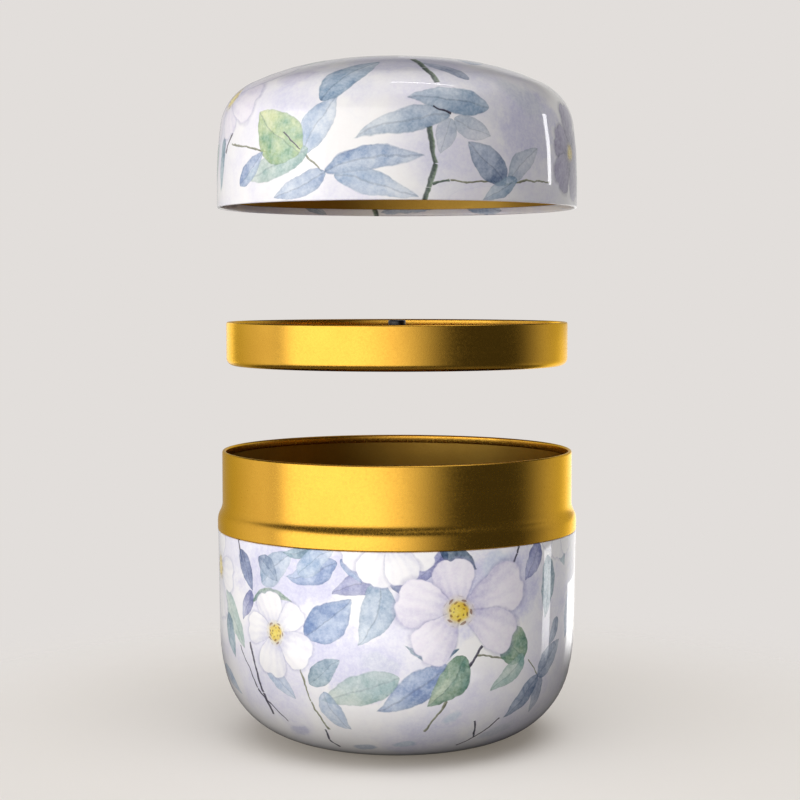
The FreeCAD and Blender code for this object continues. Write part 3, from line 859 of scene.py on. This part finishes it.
BOWL_PRINT += many(flower, "side", [
    ((62, -3), 33.8,
     [(200, 7.5, 1), (255, 7, 1.1), (300, 6.8, 1)], "white", 0),
    ((104.5, 6.4), 33.8,
     [(80, 8, 1.1), (150, 8, 1.1), (220, 8.6, 1.1), (-78, 9.6, 1), (-4, 8.4, 1.1)], "white", 2),
    ((82, 18), 33.6,
     [(95, 7, 1.1), (170, 7, 1.1), (240, 7.6, 1.1), (-50, 7.4, 1.1), (20, 7.6, 1.1)], "lilac", 1.8),
])

# The dome lid's print, laid out in the same way.
LID_PRINT = blot("front", (-30, 26), (40, 27), 0.5, "haze", 0.6)
LID_PRINT += many(blot, "side", [
    ((30, 14), (62, 12), 0.9, "haze", 0.8),
    ((56, 12), (84, 8), 0.7, "mauve", 0.5),
])
LID_PRINT += many(blot, "front", [
    ((34, 22), (52, 15), 0.5, "faint"),
    ((-46, 22), (-26, 24), 0.5, "mauve", 0.35),
    ((14, 0.5), (36, 1), 0.3, "lilac"),
])
LID_PRINT += many(stem, "front", [
    ("moss", 0.85, (7.2, 32), (10, 26), (13, 20.5)),
    ("moss", 0.75, (10, 12.5), (11.4, 6), (8.8, 2), (7.4, -0.8)),
    ("moss", 0.4, (10, 2.6), (15.5, 3.4)),
    ("olive", 0.26, (15.5, 3.4), (33, 3.2), (54, 3.9)),
    ("olive", 0.28, (-62, 10.8), (-40, 8.6)),
    ("olive", 0.28, (-28.6, 8.4), (-22, 4.9)),
    ("bark", 0.4, (-67, 9.3), (-61.5, 12.8)),
])
LID_PRINT += many(leaf, "front", [
    ((-29.5, 8.4), (-18, 18), 0.5, 0, "pale_blue"),
    ((-23.5, 17), (-6.5, 30), 0.42, -0.04, "grey_blue", 1),
    ((-27, 9), (-53, 4.2), 0.32, 0.06, "pale_green"),
    ((-30, 8.3), (-47, 15.8), 0.76, 0.08, "lime", 1),
])
LID_PRINT += stem("front", "bark", 0.2, (-36, 12), (-30, 8.8))
LID_PRINT += many(leaf, "front", [
    ((-21.2, 4.9), (-39.5, 0.6), 0.36, 0.08, "soft_blue"),
    ((-18.5, 4.2), (6.5, 0.4), 0.3, 0.06, "pale_blue"),
    ((-21.5, 5), (8.5, 7.6), 0.26, 0.10, "soft_blue", 1),
    ((16, 14.4), (-12.8, 10.6), 0.26, -0.08, "grey_blue", 0.85),
    ((16, 13.8), (13, 8), 0.55, 0, "faint", 0.8),
    ((17, 13.6), (29, 10.8), 0.5, 0, "faint", 0.8),
    ((28.5, 16), (2.8, 17.2), 0.36, -0.06, "grey_blue"),
])
LID_PRINT += stem("front", "bark", 0.3, (10.4, 15.7), (16.4, 14.6))
LID_PRINT += many(leaf, "front", [
    ((25, 21.5), (9, 29.5), 0.3, 0, "slate", 0.7),
    ((35, 3.6), (48, 9.6), 0.42, 0.1, "faint", 0.9),
    ((34, 3.4), (21, 10.2), 0.52, 0.05, "slate"),
    ((38, 4), (25.5, 0.2), 0.36, 0, "grey_blue"),
])
LID_PRINT += many(leaf, "side", [
    ((111.5, 13), (108, 2), 0.26, 0, "teal", 1),
    ((124, 3), (136, 9), 0.4, 0, "blue"),
    ((86, 2), (74, 9), 0.42, 0.1, "slate"),
    ((90, 14), (82, 22), 0.45, 0, "grey_blue"),
    ((96, 4), (104, 12), 0.4, 0, "pale_green"),
])
LID_PRINT += many(leaf, "front", [
    ((34, 30), (62, 36), 0.42, 0.1, "blue", 0.8),
    ((-40, 33), (-70, 31), 0.4, 0.1, "pale_green", 0.8),
])
LID_PRINT += leaf("side", (70, 28), (98, 33), 0.4, 0, "grey_blue")
LID_PRINT += many(flower, "side", [
    ((69, 9.5), 33.4,
     [(88, 9.6, 1.15), (160, 7.6, 1.15), (225, 8.6, 1.15), (-62, 9, 1.1), (14, 8.5, 1.1)], "plum", 1.6),
    ((109, 19.8), 31.5,
     [(100, 11, 1), (160, 9, 1.1), (230, 8.6, 1.1), (-62, 8.6, 1),
      (-10, 12, 0.95), (34, 17, 0.8)], "lilac", 2.2),
])
LID_PRINT += many(flower, "whole", [
    ((170, 36), 14,
     [(80, 9, 1.1), (150, 9, 1.1), (225, 9, 1.1), (300, 9, 1.1), (10, 9, 1.1)], "white", 2),
])


# Materials and pieces

# The golds: linear red, green, blue and alpha.
GOLD_LIGHT, GOLD_DEEP = (0.73, 0.405, 0.056, 1), (0.655, 0.35, 0.047, 1)
GOLD_EDGE = (1, 0.84, 0.42, 1)
# The inside golds are darker than the outside ones: painted shade for the dim inside of the tin and its
# lids.
INNER_SHADED_PALE, INNER_SHADED_DEEP = (0.50, 0.30, 0.055, 1), (0.40, 0.23, 0.038, 1)


def make_pieces():
    """The six pieces, each with its CAD node, its body and its material slot."""
    bowl = bowl_section()
    dome = dome_section()
    bowl_wall = [(BOWL_RADIUS, BOWL_SEAM)] + along_arcs(bowl_arcs())[::-1] + [(0, 0)]
    dome_wall = [(DOME_RADIUS, 0)] + along_arcs(dome_arcs())
    bowl_surface = Surface(bowl_wall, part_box("tin_bowl")[0].z, upwards=False)
    dome_surface = Surface(dome_wall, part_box("outer_lid")[0].z, upwards=True)
    gold = gold_lacquer("gold_lacquer", GOLD_LIGHT, GOLD_DEEP, 0.22)
    # The linings of the bowl, the collar and the dome get the darker inside gold, as painted shade.
    shaded_inner_gold = gold_lacquer("gold_lacquer_inside_painted_shade", INNER_SHADED_PALE, INNER_SHADED_DEEP, 0.34)
    bowl_print = printed_tin("printed_bowl", bowl_surface, BOWL_PRINT)
    lid_print = printed_tin("printed_lid", dome_surface, LID_PRINT)
    turned("printed_bowl_shell", bowl, "tin_bowl", "tin_body", [bowl_print, shaded_inner_gold])
    turned("gold_collar", collar_section(), "neck_collar", "tin_body", [gold, shaded_inner_gold])
    turned("gold_plug_lid", plug_section(), "inner_lid_cup", "inner_lid", [gold])
    turned("plug_knob", knob_section(), "inner_lid_knob", "inner_lid", [black_plastic()])
    turned("plug_rivet", rivet_section(), "knob_rivet", "inner_lid", [rivet_steel()])
    turned("printed_dome_shell", dome, "outer_lid", "dome_lid", [lid_print, shaded_inner_gold])


# The studio

BACKDROP = srgb(226, 222, 219)
FLOOR_SOLID, FLOOR_END = 0.06, 0.14     # metres from the axis between which the floor fades out
FLOOR_GLOW = 0.2      # the part of the floor's tone that no shadow takes away
FLOOR_SHADE = srgb(226, 213, 194)
# The floor sends less light back up to the bowl than the camera sees.
FLOOR_SEEN, FLOOR_DIM = (0.93, 0.915, 0.905, 1), (0.24, 0.23, 0.22, 1)


def make_floor():
    """A pale matt disc that takes the shadow under the bowl and fades into the backdrop."""
    mesh = bpy.data.meshes.new("studio_floor")
    disc = bmesh.new()
    bmesh.ops.create_circle(disc, cap_ends=True, radius=FLOOR_END, segments=96)
    disc.to_mesh(mesh)
    disc.free()
    floor = bpy.data.objects.new("studio_floor", mesh)
    bpy.context.scene.collection.objects.link(floor)
    material, nodes = new_material("pale_floor")
    x, y, _ = nodes.split(nodes.place())
    away = nodes.length(x, y)
    direct = nodes.add("LightPath").outputs["Is Camera Ray"]
    matt = nodes.add("BsdfDiffuse", nodes.mix(direct, FLOOR_DIM, FLOOR_SEEN))
    glow = nodes.add("Emission", FLOOR_SHADE, direct)
    pale = nodes.add("MixShader", FLOOR_GLOW, matt.outputs[0], glow.outputs[0])
    clear = nodes.add("BsdfTransparent")
    fade = nodes.step(away, FLOOR_SOLID, FLOOR_END)
    blend = nodes.add("MixShader", fade, pale.outputs[0], clear.outputs[0])
    finish_material(material, nodes, blend)
    mesh.materials.append(material)
    return floor


def soft_light(name, kind, energy, receiver):
    """A light that falls on one thing alone."""
    light = bpy.data.objects.new(name, bpy.data.lights.new(name, kind))
    light.data.energy = energy
    bpy.context.scene.collection.objects.link(light)
    lit = bpy.data.collections.new(f"lit_by_{name}")
    lit.objects.link(receiver)
    light.light_linking.receiver_collection = lit
    return light


SUN_ENERGY, SUN_WIDTH, SUN_LEAN = 1.1, 62, 16     # its width and lean are in degrees


def light_floor(floor):
    """A wide soft light from above and a little in front, for the shadow under the bowl."""
    light = soft_light("floor_light", "SUN", SUN_ENERGY, floor)
    light.data.angle = math.radians(SUN_WIDTH)
    light.rotation_euler = Euler((math.radians(SUN_LEAN), 0, 0))


def flat_light(name, receiver, place, size, glow):
    """A rectangle of light that falls on one thing alone. It faces down until it is turned."""
    light = soft_light(name, "AREA", glow * math.pi * size[0] * size[1], receiver)
    light.data.shape = "RECTANGLE"
    light.data.size, light.data.size_y = size
    light.location = place
    return light


# Strip lights, each on one piece: azimuth, height, width and length in degrees, and glow.
STRIP_LIGHTS = (
    ("bowl_edge_light", "printed_bowl_shell", 149.5, -16, 17, 15, 2.7),
    ("bowl_faint_light", "printed_bowl_shell", 109.5, -10.5, 8, 13, 4),
    ("dome_light", "printed_dome_shell", 110.5, 9, 4, 15, 7),
    ("dome_left_light", "printed_dome_shell", -65, 5, 40, 30, 1.2),
    ("plug_edge_light", "gold_plug_lid", -152, 0, 24, 30, 1.1),
    ("collar_edge_light", "gold_collar", 162, -9, 26, 18, 0.6),
)
STRIP_AWAY = 2        # metres from the middle of the piece

# A long strip over the dome's crown, and a card that lies just above the floor in front of
# the bowl and faces up: place and size in metres, and glow.
CROWN_LIGHT = (0.39, -0.21, 2.1), (0.94, 0.05), 11
CARD_LIGHT = (-0.03, -0.105, MM), (0.16, 0.11), 1.1


def light_pieces():
    """The lights that fall on one piece alone. They are tuned to the photo's view."""
    for name, piece, azimuth, height, width, length, glow in STRIP_LIGHTS:
        turn, climb = math.radians(azimuth), math.radians(height)
        level = math.cos(climb)
        towards = Vector((level * math.sin(turn), -level * math.cos(turn), math.sin(climb)))
        size = [2 * STRIP_AWAY * math.tan(math.radians(angle / 2)) for angle in (width, length)]
        receiver = bpy.data.objects[piece]
        middle = sum((Vector(corner) for corner in receiver.bound_box), Vector()) / 8
        light = flat_light(name, receiver, middle + STRIP_AWAY * towards, size, glow)
        light.rotation_euler = (-towards).to_track_quat("-Z", "Y").to_euler()
    flat_light("crown_light", bpy.data.objects["printed_dome_shell"], *CROWN_LIGHT)
    card = flat_light("card_light", bpy.data.objects["printed_bowl_shell"], *CARD_LIGHT)
    card.rotation_euler = Euler((math.pi, 0, 0))


# The soft light by direction, in degrees of azimuth, 0 in front and rising to the right, or
# of height. Each light rises or falls across its span, from its first glow to its last.
KEY_RISE, KEY_FALL, KEY_GLOW = (-87, -71), (-24, 41), (2, 0)
LEFT_FALL, LEFT_SLOPE, LEFT_GLOW = (-92, -76), (-150, -88), (0.48, 1.02)
RIGHT_RISE, RIGHT_GLOW = (82, 124), (0, 0.6)
EDGE_SPAN, EDGE_SOFT, EDGE_TOP, EDGE_GLOW = (149, 166), 20, (-3, 3), (0.7, 0)
BAND_SPAN, BAND_SOFT = (-24, 19), 12     # the heights between which those four shine
SKY_RISE = 45, 60
# The sky also changes to the back and to the right, by the world's own y and x from -1 to 1.
SKY_BACK, SKY_BACK_GLOW = (-0.3, 0.5), (1, 0.25)
SKY_RIGHT, SKY_RIGHT_GLOW = (-0.25, 0.2), (0.5, 1.7)
AMBIENT = 0.055
LIGHT_COLOUR = (1, 0.985, 0.965, 1)


def make_studio_light():
    """Soft light all round by direction. The camera itself sees the plain pale backdrop."""
    world = bpy.data.worlds.new("studio")
    bpy.context.scene.world = world
    world.use_nodes = True
    world.node_tree.nodes.clear()
    nodes = Nodes(world.node_tree)
    x, y, z = nodes.split(nodes.add("TexCoord").outputs["Generated"])
    azimuth = nodes.maths("ARCTAN2", x, nodes.times(y, -1))
    azimuth = nodes.maths("DEGREES", azimuth)
    height = nodes.maths("DEGREES", nodes.maths("ARCSINE", z))
    rise, fall = nodes.step(azimuth, *KEY_RISE), nodes.step(azimuth, *KEY_FALL, *KEY_GLOW)
    total = nodes.times(rise, fall)
    left = nodes.step(azimuth, *LEFT_FALL, 1, 0)
    left = nodes.times(left, nodes.step(azimuth, *LEFT_SLOPE, *LEFT_GLOW))
    right = nodes.step(azimuth, *RIGHT_RISE, *RIGHT_GLOW)
    edge = nodes.window(azimuth, *EDGE_SPAN, EDGE_SOFT)
    edge = nodes.times(edge, nodes.step(height, *EDGE_TOP, *EDGE_GLOW))
    for light in (left, right, edge):
        total = nodes.maths("ADD", total, light)
    total = nodes.times(total, nodes.window(height, *BAND_SPAN, BAND_SOFT))
    sky = nodes.step(height, *SKY_RISE)
    sky = nodes.times(sky, nodes.step(y, *SKY_BACK, *SKY_BACK_GLOW))
    sky = nodes.times(sky, nodes.step(x, *SKY_RIGHT, *SKY_RIGHT_GLOW))
    total = nodes.maths("ADD", nodes.maths("ADD", total, sky), AMBIENT)
    lit = nodes.add("Background", LIGHT_COLOUR, total)
    seen = nodes.add("Background", BACKDROP, 1)
    direct = nodes.add("LightPath").outputs["Is Camera Ray"]
    blend = nodes.add("MixShader", direct, lit.outputs[0], seen.outputs[0])
    output = nodes.add("OutputWorld")
    world.node_tree.links.new(blend.outputs[0], output.inputs["Surface"])


CAMERA_PLACE = Vector((0.00057, -0.3347, 0.0844))
CAMERA_DOWN = 3.546     # degrees below level
CAMERA_LENS, CAMERA_SENSOR = 79.65, 36     # millimetres
CAMERA_NEAR = 0.01


def make_camera():
    data = bpy.data.cameras.new("camera")
    data.sensor_width = CAMERA_SENSOR
    data.lens = CAMERA_LENS
    data.clip_start = CAMERA_NEAR
    camera = bpy.data.objects.new("camera", data)
    camera.location = CAMERA_PLACE
    camera.rotation_euler = Euler((math.radians(90 - CAMERA_DOWN), 0, 0))
    bpy.context.scene.collection.objects.link(camera)
    bpy.context.scene.camera = camera
    bpy.context.scene.view_settings.view_transform = "Standard"


make_camera()
make_pieces()
light_floor(make_floor())
light_pieces()
make_studio_light()
